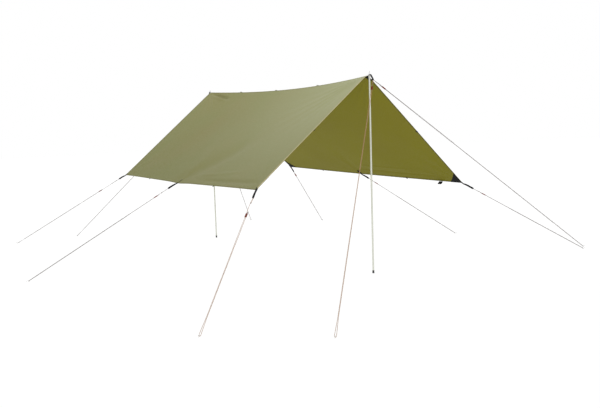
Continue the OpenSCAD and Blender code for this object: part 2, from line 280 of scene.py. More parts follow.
def weave(nodes, links, along, across, pitch):
    """Height of a plain weave whose threads are one pitch apart."""
    return math_node(nodes, links, "MULTIPLY", wave(nodes, links, along, 2 * pitch),
                     wave(nodes, links, across, 2 * pitch))


RIPSTOP_PITCH = 0.006
THREAD_PITCH = 0.0006
BRAID_PITCH = 0.0024


def tarp_material(name, colour, second, roughness, sheen, gloss, fade=(1, 1), painted_sheen=None):
    """Coated ripstop cloth: plain weave, a ripstop grid, and slow changes of tone.
    fade scales the colour with height: painted shade low down and a painted highlight high up. The last
    argument, when given, is the pale tone of a painted sheen near the front ridge end, strongest there."""
    mat, nodes, links, shader = material(name, colour, roughness)
    shader.inputs["Specular IOR Level"].default_value = gloss
    x, y, _ = split(nodes, links, uv_metres(nodes))
    place = nodes.new("ShaderNodeNewGeometry").outputs["Position"]
    cloud = ramp(nodes, links, noise_node(nodes, links, place, 1.6, 4), 0.35, 0.68)
    fine = ramp(nodes, links, noise_node(nodes, links, place, 60, 5), 0.3, 0.7, 0.0, 0.35)
    grid = math_node(nodes, links, "MAXIMUM", stripes(nodes, links, x, RIPSTOP_PITCH, THREAD_PITCH),
                     stripes(nodes, links, y, RIPSTOP_PITCH, THREAD_PITCH))
    tone = mix_colour(nodes, links, cloud, colour, second)
    tone = mix_colour(nodes, links, math_node(nodes, links, "MULTIPLY", fine, 0.3), tone,
                      tuple(c * 0.8 for c in colour))
    tone = mix_colour(nodes, links, math_node(nodes, links, "MULTIPLY", grid, 0.14), tone,
                      tuple(min(1, c * 1.5) for c in colour))
    # Painted sheen: the colour is mixed toward a pale tone near the front ridge end.
    if painted_sheen:
        away = nodes.new("ShaderNodeVectorMath")
        away.operation = "DISTANCE"
        links.new(place, away.inputs[0])
        away.inputs[1].default_value = tuple(FRONT_APEX)
        near = ramp(nodes, links, away.outputs["Value"], 0.1, 2.6, 1, 0)
        tone = mix_colour(nodes, links, math_node(nodes, links, "POWER", near, 1.8), tone, painted_sheen)
    # Painted light: the colour is scaled with height, darker low down as painted shade and paler high up as
    # a painted highlight.
    bright = ramp(nodes, links, split(nodes, links, place)[2], 0.8, 1.75, *fade)
    scaled = nodes.new("ShaderNodeVectorMath")
    scaled.operation = "SCALE"
    links.new(tone, scaled.inputs[0])
    links.new(bright, scaled.inputs["Scale"])
    links.new(scaled.outputs[0], shader.inputs["Base Color"])
    links.new(ramp(nodes, links, fine, 0, 0.35, roughness - 0.06, roughness + 0.06),
              shader.inputs["Roughness"])
    threads = weave(nodes, links, x, y, THREAD_PITCH)
    height = math_node(nodes, links, "ADD", math_node(nodes, links, "MULTIPLY", threads, 0.35), grid)
    bump(nodes, links, shader, height, 0.00012, 0.6)
    shader.inputs["Sheen Weight"].default_value = sheen
    shader.inputs["Sheen Roughness"].default_value = 0.4
    return mat


def webbing_material(name, colour):
    """Woven webbing: ribs that zigzag along the band, dark between and paler on top."""
    mat, nodes, links, shader = material(name, colour, 0.8)
    shader.inputs["Specular IOR Level"].default_value = 0.15
    x, y, _ = split(nodes, links, uv_metres(nodes))
    slant = math_node(nodes, links, "ADD", x, math_node(nodes, links, "PINGPONG", y, 0.0025))
    light = ramp(nodes, links, wave(nodes, links, slant, 0.0018), -1, 1)
    links.new(mix_colour(nodes, links, light, tuple(c * 0.5 for c in colour),
                         tuple(c * 1.7 + 0.003 for c in colour)), shader.inputs["Base Color"])
    bump(nodes, links, shader, light, 0.0003, 0.8)
    shader.inputs["Sheen Weight"].default_value = 0.05
    return mat


def cord_material(name, ground, tracer):
    """Braided cord: crossing strands, with a tracer of another tone every fourth strand."""
    mat, nodes, links, shader = material(name, ground, 0.65)
    x, y, _ = split(nodes, links, uv_metres(nodes))
    one_way = math_node(nodes, links, "ADD", x, y)
    other_way = math_node(nodes, links, "SUBTRACT", x, y)
    braid = math_node(nodes, links, "MULTIPLY", wave(nodes, links, one_way, BRAID_PITCH),
                      wave(nodes, links, other_way, BRAID_PITCH))
    fleck = ramp(nodes, links, wave(nodes, links, one_way, 4 * BRAID_PITCH), 0.2, 0.5)
    tone = mix_colour(nodes, links, fleck, ground, tracer)
    shade = ramp(nodes, links, braid, -1, 1, 0, 0.35)
    links.new(mix_colour(nodes, links, shade, tone, tuple(c * 0.45 for c in ground)),
              shader.inputs["Base Color"])
    bump(nodes, links, shader, braid, 0.0003, 0.8)
    return mat


def metal_material(name, colour, roughness):
    """Metal with fine upright grain and a slightly uneven polish."""
    mat, nodes, links, shader = material(name, colour, roughness, 1.0)
    place = nodes.new("ShaderNodeTexCoord").outputs["Object"]
    stretch = nodes.new("ShaderNodeMapping")
    stretch.inputs["Scale"].default_value = (1, 1, 0.03)
    links.new(place, stretch.inputs["Vector"])
    lines = noise_node(nodes, links, stretch.outputs[0], 900, 2)
    marks = noise_node(nodes, links, place, 40, 4)
    links.new(ramp(nodes, links, marks, 0.3, 0.7, roughness - 0.06, roughness + 0.1),
              shader.inputs["Roughness"])
    links.new(mix_colour(nodes, links, ramp(nodes, links, marks, 0.4, 0.7, 0, 0.4), colour,
                         tuple(c * 0.86 for c in colour)), shader.inputs["Base Color"])
    bump(nodes, links, shader, lines, 0.00005, 0.25)
    return mat


def plastic_material(name, colour, roughness):
    """Moulded plastic with a fine spark-eroded texture."""
    mat, nodes, links, shader = material(name, colour, roughness)
    place = nodes.new("ShaderNodeTexCoord").outputs["Object"]
    grain = noise_node(nodes, links, place, 1800, 3)
    links.new(mix_colour(nodes, links, ramp(nodes, links, grain, 0.3, 0.8), colour,
                         tuple(min(1, c * 1.8 + 0.008) for c in colour)), shader.inputs["Base Color"])
    bump(nodes, links, shader, grain, 0.0001, 0.4)
    return mat


# The pair after the gloss scales each cloth's colour with height as painted shade and highlight; the outside
# also gets a painted sheen near the front ridge end.
OUTSIDE = tarp_material("tarp_outside", (0.187, 0.190, 0.065), (0.200, 0.187, 0.068), 0.6, 0.02, 0.2,
                        (0.95, 1.18), painted_sheen=(0.303, 0.311, 0.170))
INSIDE = tarp_material("tarp_inside", (0.188, 0.172, 0.005), (0.182, 0.161, 0.009), 0.65, 0.0, 0.12,
                       (0.90, 1.15))
HEM_FLAT = tarp_material("hem_inside", (0.168, 0.156, 0.010), (0.162, 0.147, 0.012), 0.65, 0.0, 0.12,
                         (0.92, 1.08))
HEM = tarp_material("hem_cloth", (0.160, 0.160, 0.062), (0.170, 0.160, 0.065), 0.65, 0.02, 0.2)
# Near-black painted shade for the rolled edge under each hem.
HEM_EDGE_SHADE = tarp_material("hem_edge_painted_shade", (0.052, 0.048, 0.010), (0.058, 0.052, 0.012), 0.7, 0.0, 0.1)
BINDING = tarp_material("gable_binding", (0.430, 0.375, 0.195), (0.440, 0.390, 0.205), 0.6, 0.02, 0.2)
PATCH = tarp_material("black_patch_cloth", (0.009, 0.009, 0.009), (0.012, 0.012, 0.011), 0.75, 0.0, 0.08)
WEBBING = webbing_material("black_webbing", (0.010, 0.010, 0.011))
LOOP_WEBBING = webbing_material("olive_webbing", (0.150, 0.148, 0.085))
GUY_CORD = cord_material("guy_cord", (0.120, 0.090, 0.080), (0.200, 0.170, 0.155))
RED_CORD = cord_material("guy_cord_red", (0.390, 0.170, 0.060), (0.400, 0.330, 0.230))
KNOT_CORD = cord_material("knot_cord", (0.110, 0.060, 0.045), (0.260, 0.210, 0.180))
RUNNER = metal_material("runner_anodised", (0.200, 0.036, 0.016), 0.5)
PEG_STEEL = metal_material("peg_steel", (0.86, 0.86, 0.85), 0.3)
ALUMINIUM = metal_material("pole_aluminium", (0.71, 0.72, 0.64), 0.45)
EYELET = metal_material("eyelet_metal", (0.40, 0.40, 0.38), 0.35)
BLACK_PLASTIC = plastic_material("black_plastic", (0.015, 0.015, 0.015), 0.5)
SHOCK_CORD = cord_material("shock_cord_cover", (0.7, 0.7, 0.68), (0.2, 0.2, 0.2))


# ---------------------------------------------------------------- camera
def add_camera():
    """The view of the reference: from the left of the front opening, a little above a seated eye."""
    data = bpy.data.cameras.new("camera")
    camera = bpy.data.objects.new("camera", data)
    scene.collection.objects.link(camera)
    place = Vector((-3.9746, -4.7323, 1.2548))
    yaw, pitch, roll = 0.5617, 0.1022, -0.0348
    ahead = Vector((math.sin(yaw) * math.cos(pitch), math.cos(yaw) * math.cos(pitch), -math.sin(pitch)))
    level = Vector((math.cos(yaw), -math.sin(yaw), 0))
    upright = level.cross(ahead)
    right = math.cos(roll) * level + math.sin(roll) * upright
    up = math.cos(roll) * upright - math.sin(roll) * level
    camera.matrix_world = Matrix([[right[k], up[k], -ahead[k], place[k]] for k in range(3)] + [[0, 0, 0, 1]])
    data.lens = 41.57
    data.sensor_width = 36
    data.shift_x = 0.0382
    data.shift_y = 0.0048
    scene.camera = camera


# ---------------------------------------------------------------- guy lines
def guy_axes(guy):
    """A guy line's tie and peg points, and its unit vectors along it and level across it."""
    tie = np.asarray(guy[0], float)
    peg = np.asarray(guy[1], float)
    along = unit(peg - tie)
    return tie, peg, along, unit(np.cross(along, (0, 0, 1)))


def guy_route(guy):
    """The route of the CAD cord: out strand, loop round the peg, and back to the runner."""
    tie, peg, along, side = guy_axes(guy)
    _, _, gap, to_runner, _, _ = guy
    centre = peg - along * LOOP_BACK
    start = tie + along * gap
    # The strands stay parallel over the whole travel of the runner, then close up.
    free = tie + along * (to_runner + RUNNER_LENGTH + RUNNER_TRAVEL + 0.015)
    slant = unit(side + np.cross(side, along)) * CLOSE_GAP
    out = [start, start + along * 0.015, start + along * 0.050 + side * STRAND_GAP, free + side * STRAND_GAP,
           free + along * 0.08 + slant, peg - along * 0.15 + slant,
           centre + side * LOOP_RADIUS - along * 0.012]
    out += [centre + LOOP_RADIUS * (along * math.cos(a) - side * math.sin(a))
            for a in np.radians(range(-90, 91, 15))]
    back = [centre - side * LOOP_RADIUS, centre - side * LOOP_RADIUS - along * 0.012,
            peg - along * 0.15 - slant, free + along * 0.08 - slant,
            free - side * STRAND_GAP, tie + along * (to_runner - 0.010) - side * STRAND_GAP]
    return out, back


def subdivided(points, step):
    """The same straight stretches, with points about every step metres."""
    out = []
    for a, b in zip(points[:-1], points[1:]):
        count = max(1, int(np.linalg.norm(np.subtract(b, a)) / step))
        out += [a + (b - a) * t for t in np.linspace(0, 1, count, endpoint=False)]
    return np.array(out + [points[-1]])


def knot(name, place, along, side, body, scale=0.0014):
    """A tight overhand knot: a trefoil of cord, its axis along the line."""
    third = np.cross(along, side)
    turns = np.linspace(0, 2 * math.pi, 37)
    path = [place + scale * ((math.sin(t) + 2 * math.sin(2 * t)) * side
                             + (math.cos(t) - 2 * math.cos(2 * t)) * third
                             - 1.3 * math.sin(3 * t) * along) for t in turns]
    obj = sweep(name, path, circle(CORD_D / 2 * 0.95, 8), along + 0.01 * side, KNOT_CORD)
    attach(obj, body)
    return obj


def add_guy(name, guy):
    """One guy line: the loop on its strap, the strand out to the peg, and the strand back to the runner."""
    tie, _, along, side = guy_axes(guy)
    _, _, gap, _, _, loop_length = guy
    normal = np.cross(side, along)
    cord = RED_CORD if name in ("left_front", "front_left") else GUY_CORD
    out, back = guy_route(guy)
    # Loop through the strap: from the knot up to the webbing and back beside the main strand.
    start = tie + along * gap
    tie_knot = knot(f"tie_knot_{name}", start + along * loop_length, along, side, "canopy")
    loop_path = smooth_path([start + along * 0.001 - side * 0.0005, start + along * 0.010 - side * 0.004,
                             start + along * loop_length * 0.6 - side * 0.0035,
                             start + along * loop_length - side * 0.001], 0.004)
    loop = sweep(f"tie_loop_{name}", loop_path, circle(CORD_D / 2, 8), normal, cord)
    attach(loop, "canopy")

    out_path = subdivided(out, 0.030)
    strand = sweep(f"guy_line_{name}", out_path, circle(CORD_D / 2, 10), normal, cord)
    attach(strand, "canopy")
    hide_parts(f"guy_{name}")

    back_path = subdivided(back, 0.030)
    tail = sweep(f"return_line_{name}", back_path, circle(CORD_D / 2, 10), normal, cord)
    stopper = knot(f"runner_knot_{name}", back_path[-1] - along * 0.002, along, side,
                   f"runner_{name}", 0.0012)
    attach(tail, "canopy")
    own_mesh(tail)


# ---------------------------------------------------------------- canopy surface
def ridge_point(u):
    """The sagging ridge line, for u from 0 at the front to 1 at the rear."""
    u = np.asarray(u, float)[..., None]
    line = FRONT_APEX + (REAR_APEX - FRONT_APEX) * u
    return line - np.array([0, 0, 1]) * 4 * RIDGE_SAG * u * (1 - u) * (1 + RIDGE_SKEW * (1 - 2 * u))


def hem_point(ties, u):
    """A side edge of the cloth through its three ties, bowed inward between them."""
    u = np.asarray(u, float)
    rear = u >= 0.5
    t = (2 * u - rear)[..., None]
    start = np.where(rear[..., None], ties[1], ties[0])
    end = np.where(rear[..., None], ties[2], ties[1])
    inward = 1 if ties[0][0] < 0 else -1
    return start + (end - start) * t + np.array([1, 0, 0]) * 4 * HEM_BOW * inward * t * (1 - t)


def taut_shape(u, w):
    """The pitched cloth without its folds, for arrays u and w of one shape. w is 0 on the ridge, -1 on
    the left hem and 1 on the right hem."""
    v = np.abs(w)[..., None]
    hem = np.where((w < 0)[..., None], hem_point(LEFT_TIES, u), hem_point(RIGHT_TIES, u))
    ridge = ridge_point(u)
    sag = 16 * PANEL_SAG * (u * (1 - u))[..., None] * v * (1 - v)
    drop = (np.sqrt(v * v + RIDGE_ROUND ** 2) - v) * (ridge - hem)[..., 2:]
    return ridge + (hem - ridge) * v - np.array([0, 0, 1]) * (sag + drop)


def fan(s, q, place, heading, spread, count, reach, depth, phase=0.0):
    """Tension folds that spread from one point. s and q are metres along the ridge and down the slope,
    heading and spread are degrees, and count is how many folds a whole turn would hold."""
    ds, dq = s - place[0], q - place[1]
    r = np.hypot(ds, dq)
    angle = np.arctan2(dq, ds) - math.radians(heading)
    angle = (angle + math.pi) % (2 * math.pi) - math.pi
    window = np.exp(-(angle / math.radians(spread)) ** 2)
    fade = (r / reach) * np.exp(1 - r / reach) * np.exp(-(r / (3 * reach)) ** 2)
    return depth * window * fade * np.cos(count * angle + phase)


def crease(s, q, start, end, width, depth):
    """One soft crease between two points."""
    a, b = np.array(start), np.array(end)
    along = (b - a) / np.linalg.norm(b - a)
    length = np.linalg.norm(b - a)
    t = (s - a[0]) * along[0] + (q - a[1]) * along[1]
    off = (s - a[0]) * -along[1] + (q - a[1]) * along[0]
    # It fades out at both ends.
    ends = 1 / (1 + np.exp(-(t / length) * 12)) * 1 / (1 + np.exp(-(1 - t / length) * 12))
    return depth * np.exp(-(off / width) ** 2) * ends


# Creases: start and end, each as metres along the ridge and down the slope, then width and height.
LEFT_CREASES = [((1.50, 1.45), (0.95, 0.90), 0.12, -0.021), ((1.20, 1.36), (0.55, 1.30), 0.020, 0.0060),
                ((1.00, 1.43), (0.12, 1.42), 0.024, -0.0120), ((2.88, 0.035), (2.42, 0.115), 0.018, -0.0240),
                ((2.80, 0.085), (2.50, 0.150), 0.020, 0.0090)]
RIGHT_CREASES = [((1.42, 1.38), (0.35, 1.41), 0.018, 0.0050), ((1.35, 1.31), (0.60, 1.33), 0.015, -0.0040)]


def lumps(s, q, left, scales, seeds):
    """Smooth noise over the cloth, with one seed for the left slope and one for the right."""
    values = [noise.noise(Vector((float(a) * scales[0], float(b) * scales[1], seeds[0] if c else seeds[1])))
              for a, b, c in zip(s.ravel(), q.ravel(), left.ravel())]
    return np.array(values).reshape(s.shape)


def folds(u, w):
    """Height of the cloth's folds above its taut shape, in metres."""
    s, q = u * CLOTH_LENGTH, np.abs(w) * CLOTH_SLOPE
    left = w < 0
    height = np.zeros_like(s)
    # Fine folds from both ridge ends and wider ones from the ties.
    front = fan(s, q, (0, 0), heading=40, spread=24, count=34, reach=0.32, depth=0.0055)
    height += np.where(left, 1, 0.25) * front
    height += fan(s, q, (CLOTH_LENGTH, 0), heading=152, spread=22, count=26, reach=0.26, depth=0.0022)
    for tie, heading in ((0, -52), (CLOTH_LENGTH, -128)):
        height += fan(s, q, (tie, CLOTH_SLOPE), heading, spread=34, count=14, reach=0.26, depth=0.0014,
                      phase=0.8)
    height += fan(s, q, (CLOTH_LENGTH / 2, CLOTH_SLOPE), heading=-90, spread=42, count=7, reach=0.36,
                  depth=0.0022)
    for row in LEFT_CREASES:
        height += np.where(left, crease(s, q, *row), 0)
    for row in RIGHT_CREASES:
        height += np.where(left, 0, crease(s, q, *row))
    # Unevenness, calm at the edges.
    calm = np.clip(8 * u * (1 - u), 0, 1) * np.clip(8 * np.abs(w) * (1 - np.abs(w)), 0, 1)
    slow = lumps(s, q, left, (1.7, 2.3), (5.0, 9.0))
    fine = lumps(s, q, left, (7, 8), (2.0, 4.0))
    height += calm * (0.006 * slow + 0.0008 * fine)
    edge = np.clip(u * (1 - u) * 40, 0, 1) * np.clip(np.abs(w) * 25, 0, 1)
    return height * edge


def cloth(u, w, lift=0.0):
    """Points on the cloth, folds included, lifted by so many metres square to it."""
    u, w = np.broadcast_arrays(np.asarray(u, float), np.asarray(w, float))
    base = taut_shape(u, w)
    step = 1e-4
    du = taut_shape(np.clip(u + step, 0, 1), w) - taut_shape(np.clip(u - step, 0, 1), w)
    sign = np.where(w < 0, -1.0, 1.0)
    inner = sign * np.clip(np.abs(w) - step, 0, 1)
    outer = sign * np.clip(np.abs(w) + step, 0, 1)
    dw = (taut_shape(u, outer) - taut_shape(u, inner)) * sign[..., None]
    normal = np.cross(dw, du)
    normal /= np.linalg.norm(normal, axis=-1)[..., None]
    normal = np.where((np.abs(w) < 1e-6)[..., None], [0, 0, 1.0], normal)
    return base + normal * (folds(u, w) + lift)[..., None]


def add_canopy():
    """One continuous sheet over the ridge, with an outside and an inside face."""
    rows, half = 280, 130
    # The lines beside the ridge are closer together, for the rounded fold.
    down = np.concatenate([[0, 0.002, 0.0045, 0.0075, 0.011], np.linspace(0.015, 1, half - 4)])
    w_line = np.concatenate([-down[:0:-1], down])
    u_line = np.linspace(0, 1, rows + 1)
    w, u = np.meshgrid(w_line, u_line)
    top = cloth(u, w)
    under = cloth(u, w, -CLOTH_THICK)
    cols = len(w_line)
    count = top.shape[0] * cols
    verts = np.vstack([top.reshape(-1, 3), under.reshape(-1, 3)])
    flat_uv = np.stack([w * CLOTH_SLOPE, u * CLOTH_LENGTH], axis=-1).reshape(-1, 2)
    faces = []
    for i in range(rows):
        for j in range(cols - 1):
            a = i * cols + j
            faces.append((a, a + 1, a + cols + 1, a + cols))
    outer_count = len(faces)
    faces += [(a + count, d + count, c + count, b + count) for a, b, c, d in faces]
    last = rows * cols
    for j in range(cols - 1):
        faces.append((j + 1, j, j + count, j + 1 + count))
        faces.append((last + j, last + j + 1, last + j + 1 + count, last + j + count))
    for i in range(rows):
        a, b = i * cols, (i + 1) * cols
        faces.append((a, b, b + count, a + count))
        a, b = a + cols - 1, b + cols - 1
        faces.append((b, a, a + count, b + count))
    uvs = [flat_uv[k % count] for face in faces for k in face]
    obj = new_object("canopy_cloth", verts, faces, uvs)
    for mat in (OUTSIDE, INSIDE):
        obj.data.materials.append(mat)
    index = [0] * outer_count + [1] * (len(faces) - outer_count)
    obj.data.polygons.foreach_set("material_index", index)
    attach(obj, "canopy")
    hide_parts("left_panel", "right_panel")
    return obj


def cloth_band(name, centre_line, width, lift, thick, mat):
    """A band sewn along a line of (u, w) points on the cloth, lift metres off its upper face."""
    line = np.asarray(centre_line, float)
    middle = cloth(line[:, 0], line[:, 1], lift)
    above = cloth(line[:, 0], line[:, 1], lift + 0.01)
    up = unit_rows(above - middle)
    across = np.cross(unit_rows(np.gradient(middle, axis=0)), up)
    outline = flat_outline(width, thick)
    verts = [middle[i] + across[i] * a + up[i] * b for i in range(len(line)) for a, b in outline]
    obj = tube(name, verts, distances(middle), marks_across(outline), mat)
    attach(obj, "canopy")
    return obj


# ---------------------------------------------------------------- sewn pieces of the canopy
BAND_STEPS = 90


def add_ridge_seam():
    """The felled seam along the ridge: a raised band with a flat lap on each side."""
    us = np.linspace(0.001, 0.999, 2 * BAND_STEPS)
    seam = cloth_band("ridge_seam_tape", [(u, 0.0) for u in us], width=0.012, lift=0.0012, thick=0.0012,
                      mat=OUTSIDE)
    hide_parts("ridge_seam")
    for side in (-1, 1):
        lap = cloth_band(f"ridge_lap_{'left' if side < 0 else 'right'}",
                         [(u, side * 0.0065) for u in us], width=0.014, lift=0.0004, thick=0.0007,
                         mat=OUTSIDE)
    return seam


def hem_layers(flat_name, stem, line_in, top_width, top_mat):
    """One hem: a flat strip on the underside, a rolled edge below it coloured near black as painted shade,
    and a strip on the upper face.
    line_in gives the line of (u, w) points that runs so many metres in from the edge of the cloth."""
    flat = cloth_band(flat_name, line_in(0.011), width=0.022, lift=-CLOTH_THICK - 0.0007, thick=0.0010,
                      mat=HEM_FLAT)
    edge = cloth_band(f"{stem}_edge", line_in(0.0035), width=0.0070, lift=-CLOTH_THICK - 0.0012,
                      thick=0.0006, mat=HEM_EDGE_SHADE)
    top = cloth_band(f"{stem}_top", line_in(top_width / 2), top_width, lift=0.0004, thick=0.0008,
                     mat=top_mat)
    return [edge, flat, top]


def add_hems():
    """The two side hems and the four gable hems. The front gable has a pale binding on top."""
    pieces = []
    us = np.linspace(0.0, 1.0, 2 * BAND_STEPS)
    for side, word in ((-1, "left"), (1, "right")):
        pieces += hem_layers(f"{word}_hem", f"{word}_hem",
                             lambda inset: [(u, side * (1 - inset / CLOTH_SLOPE)) for u in us], 0.011, HEM)
    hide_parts("side_hems")
    ws = np.linspace(0.004, 0.985, BAND_STEPS)
    for end, word in ((0, "front"), (1, "rear")):
        for side, side_word in ((-1, "left"), (1, "right")):
            pieces += hem_layers(f"{word}_{side_word}_gable_hem", f"{word}_{side_word}_gable",
                                 lambda inset: [(abs(end - inset / CLOTH_LENGTH), side * w) for w in ws],
                                 0.016, BINDING if word == "front" else HEM)
    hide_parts("gable_hems")
    return pieces


def cloth_patch(name, outline, lift):
    """A thin sewn patch that follows the cloth. Every point of its (w, u) outline can be seen from its
    middle."""
    rings = 6
    thick = 0.0008
    outline = np.asarray(outline, float)
    centre = np.mean(outline, axis=0)
    points = [centre]
    for ring in range(1, rings + 1):
        points += list(centre + (outline - centre) * ring / rings)
    points = np.array(points)
    w, u = points[:, 0], points[:, 1]
    top = cloth(u, w, lift)
    under = cloth(u, w, lift - thick)
    n, count = len(outline), len(points)
    faces = []
    for k in range(n):
        m = (k + 1) % n
        faces.append((0, 1 + k, 1 + m))
        for ring in range(rings - 1):
            a = 1 + ring * n
            faces.append((a + k, a + n + k, a + n + m, a + m))
    under_faces = [tuple(count + i for i in reversed(face)) for face in faces]
    rim = 1 + (rings - 1) * n
    sides = [(rim + (k + 1) % n, rim + k, count + rim + k, count + rim + (k + 1) % n) for k in range(n)]
    faces = faces + under_faces + sides
    flat_uv = np.stack([w * CLOTH_SLOPE, u * CLOTH_LENGTH], axis=-1)
    uvs = [flat_uv[i % count] for face in faces for i in face]
    obj = new_object(name, np.vstack([top, under]), faces, uvs, PATCH, smooth=False)
    bm = bmesh.new()
    bm.from_mesh(obj.data)
    bmesh.ops.recalc_face_normals(bm, faces=bm.faces)
    bm.to_mesh(obj.data)
    bm.free()
    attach(obj, "canopy")
    return obj


def add_patches():
    """Black reinforcement under the corners, the edge ties and the two ridge ends."""
    lift = -CLOTH_THICK - 0.0014
    corner_w, corner_u = 0.154 / CLOTH_SLOPE, 0.148 / CLOTH_LENGTH
    ridge_w, ridge_u = 0.080 / CLOTH_SLOPE, 0.075 / CLOTH_LENGTH
    curve = 1.06
    corners, edges, ridges = [], [], []
    for side, side_word in ((-1, "left"), (1, "right")):
        for end, word in ((0, "front"), (1, "rear")):
            inward = 1 - 2 * end
            # Triangles whose inner edge curves in a little, so the pull of the tie spreads along it.
            inner = [(1 - corner_w * (1 - t) ** curve, corner_u * t ** curve) for t in np.linspace(0, 1, 9)]
            outline = [(side, end)] + [(side * w, end + inward * u) for w, u in inner]
            corners.append(cloth_patch(f"{side_word}_{word}_corner_patch", outline, lift))
            outline = [(0.0, end), (side * ridge_w, end)]
            outline += [(side * ridge_w * (1 - t) ** curve, end + inward * ridge_u * t ** curve)
                        for t in np.linspace(0.12, 1, 7)]
            ridges.append(cloth_patch(f"{side_word}_{word}_ridge_patch", outline, lift))
        half = 0.018 / CLOTH_LENGTH
        top = 1 - 0.072 / CLOTH_SLOPE
        strip = [(side, 0.5 - half), (side * top, 0.5 - half), (side * top, 0.5 + half), (side, 0.5 + half)]
        edges.append(cloth_patch(f"{side_word}_edge_patch", strip, lift))
    for pieces, node in ((corners, "corner_patches"), (edges, "edge_patches"), (ridges, "ridge_patches")):
        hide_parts(node)
    return corners + edges + ridges


def add_tie_straps():
    """A doubled webbing strap at each corner and edge tie: sewn under the cloth, folded round the cord."""
    groups = {"corner_straps": [], "edge_straps": []}
    for name in ("left_front", "left_middle", "left_rear", "right_front", "right_middle", "right_rear"):
        tie, _, along, level = guy_axes(GUYS[name])
        _, _, gap, _, turn, _ = GUYS[name]
        inward = inward_on_cloth(name)
        sewn = 0.060 if "middle" in name else 0.045
        # Stations outward from the sewn end: place, share of the turn, half the gap of the two layers.
        stations = [(cloth_at(name, inward, sewn, -0.0040), 0.0, 0.0011),
                    (cloth_at(name, inward, 0.024, -0.0044), 0.0, 0.0011),
                    (tie + along * 0.006 - [0, 0, 0.0050], 0.35, 0.0012),
                    (tie + along * 0.030 - [0, 0, 0.0020], 0.8, 0.0014),
                    (tie + along * 0.060, 1.0, 0.0032),
                    (tie + along * (gap - 0.012), 1.0, 0.0046),
                    (tie + along * (gap + 0.001), 1.0, 0.0012)]
        places = smooth_path([s[0] for s in stations], 0.006)
        run = distances(places)
        marks = [run[np.argmin(np.linalg.norm(places - s[0], axis=1))] for s in stations]
        turns = np.radians(turn) * np.interp(run, marks, [s[1] for s in stations])
        gaps = np.interp(run, marks, [s[2] for s in stations])
        ahead = unit_rows(np.gradient(places, axis=0))
        path, across = [], []
        for layer, order in ((1, range(len(places))), (-1, range(len(places) - 1, -1, -1))):
            for k in order:
                flat = unit(level - ahead[k] * (level @ ahead[k]))
                wide = flat * math.cos(turns[k]) + np.cross(flat, ahead[k]) * math.sin(turns[k])
                path.append(places[k] + np.cross(wide, ahead[k]) * gaps[k] * layer)
                across.append(wide)
        band = band_along(f"tie_strap_{name}", path, across, width=0.015, thick=0.0015)
        lap = 0.062 if "middle" in name else 0.030
        top_points = [cloth_at(name, inward, reach, 0.0018) for reach in (lap, lap / 2, 0.008)]
        top_path = smooth_path(top_points + [tie + along * 0.004 + [0, 0, 0.0010]], 0.004)
        band_along(f"tie_lap_{name}", top_path, [level] * len(top_path), width=0.009, thick=0.0012)
        groups["edge_straps" if "middle" in name else "corner_straps"].append(band)
    for node, bands in groups.items():
        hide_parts(node)


def band_along(name, path, across, width, thick, mat=WEBBING, body="canopy"):
    """A strip of webbing along a path, its width given at each point."""
    path = np.asarray(path, float)
    ahead = np.gradient(path, axis=0)
    outline = flat_outline(width, thick)
    verts = []
    for point, heading, wide in zip(path, ahead, across):
        up = unit(np.cross(wide, heading))
        wide = unit(np.cross(heading, up))
        verts += [point + wide * a + up * b for a, b in outline]
    obj = tube(name, verts, distances(path), marks_across(outline), mat)
    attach(obj, body)
    return obj


def tie_uw(name):
    """Where on the cloth a corner or edge tie is."""
    side = -1.0 if name.startswith("left") else 1.0
    return {"front": 0.0, "middle": 0.5, "rear": 1.0}[name.split("_")[1]], side


def inward_on_cloth(name):
    """A guy line's direction carried on over the cloth: shares along the ridge and up the slope."""
    _, _, along, _ = guy_axes(GUYS[name])
    u, w = tie_uw(name)
    here = taut_shape(np.array(u), np.array(w))
    ridgeward = unit(taut_shape(np.array(u), np.array(w * 0.98)) - here)
    end_step = 0.01 if u < 0.75 else -0.01
    forward = unit(taut_shape(np.array(u + end_step), np.array(w)) - here) * (1 if end_step > 0 else -1)
    return unit([-along @ forward, -along @ ridgeward])


def cloth_at(name, inward, distance, lift):
    """A point on the cloth some way inward from a tie."""
    u, w = tie_uw(name)
    u_in = min(1.0, max(0.0, u + inward[0] * distance / CLOTH_LENGTH))
    v_in = min(1.0, 1 - inward[1] * distance / CLOTH_SLOPE)
    return cloth(u_in, w * v_in, lift)


def add_pole_straps():
    """The webbing on each spike: one leg down to the knot of the two pole guys, one back to the cloth."""
    for word, out in (("front", -1), ("rear", 1)):
        top = np.array([0, POLE_Y[word], EYELET_Z[word]])
        low = FRONT_KNOT if word == "front" else REAR_KNOT
        ring_z = 0.0090
        ring = washer(f"{word}_strap_eye", top + [0, 0, ring_z], inner=0.0065, outer=0.0130, thick=0.0016)
        level = np.array([1.0, 0, 0])
        end_u, inner_u, side = (0.003, 0.013, 1.0) if word == "front" else (0.997, 0.987, -1.0)
        lug = cloth(end_u, side * 0.030, -0.0050)
        sewn = cloth(inner_u, side * 0.034, -0.0046)
        slope = side * unit(cloth(end_u, side * 0.045) - cloth(end_u, side * 0.015))
        fold = top + np.array([0, out * 0.0150, ring_z - 0.001])
        points = [top + [0, out * 0.0085, ring_z], fold, fold * 0.55 + low * 0.45 + [0, out * 0.001, 0],
                  low + [0, out * 0.0015, -0.0035], low * 0.75 + lug * 0.25 - [0, 0, 0.001], lug, sewn]
        path = smooth_path(points, 0.003)
        bend = np.linalg.norm(path - low, axis=1).argmin()
        steps = np.arange(len(path))
        twist = np.clip(steps / (0.35 * bend), 0, 1)[:, None]
        share = np.clip((steps - bend) / (len(path) - bend), 0, 1)[:, None]
        turned = level * (1 - twist) + np.array([0.77, out * 0.43, 0.47]) * twist
        across = turned * (1 - share) + slope * share
        band = band_along(f"{word}_pole_strap", path, across, width=0.014, thick=0.0016)
        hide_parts(f"{word}_strap")


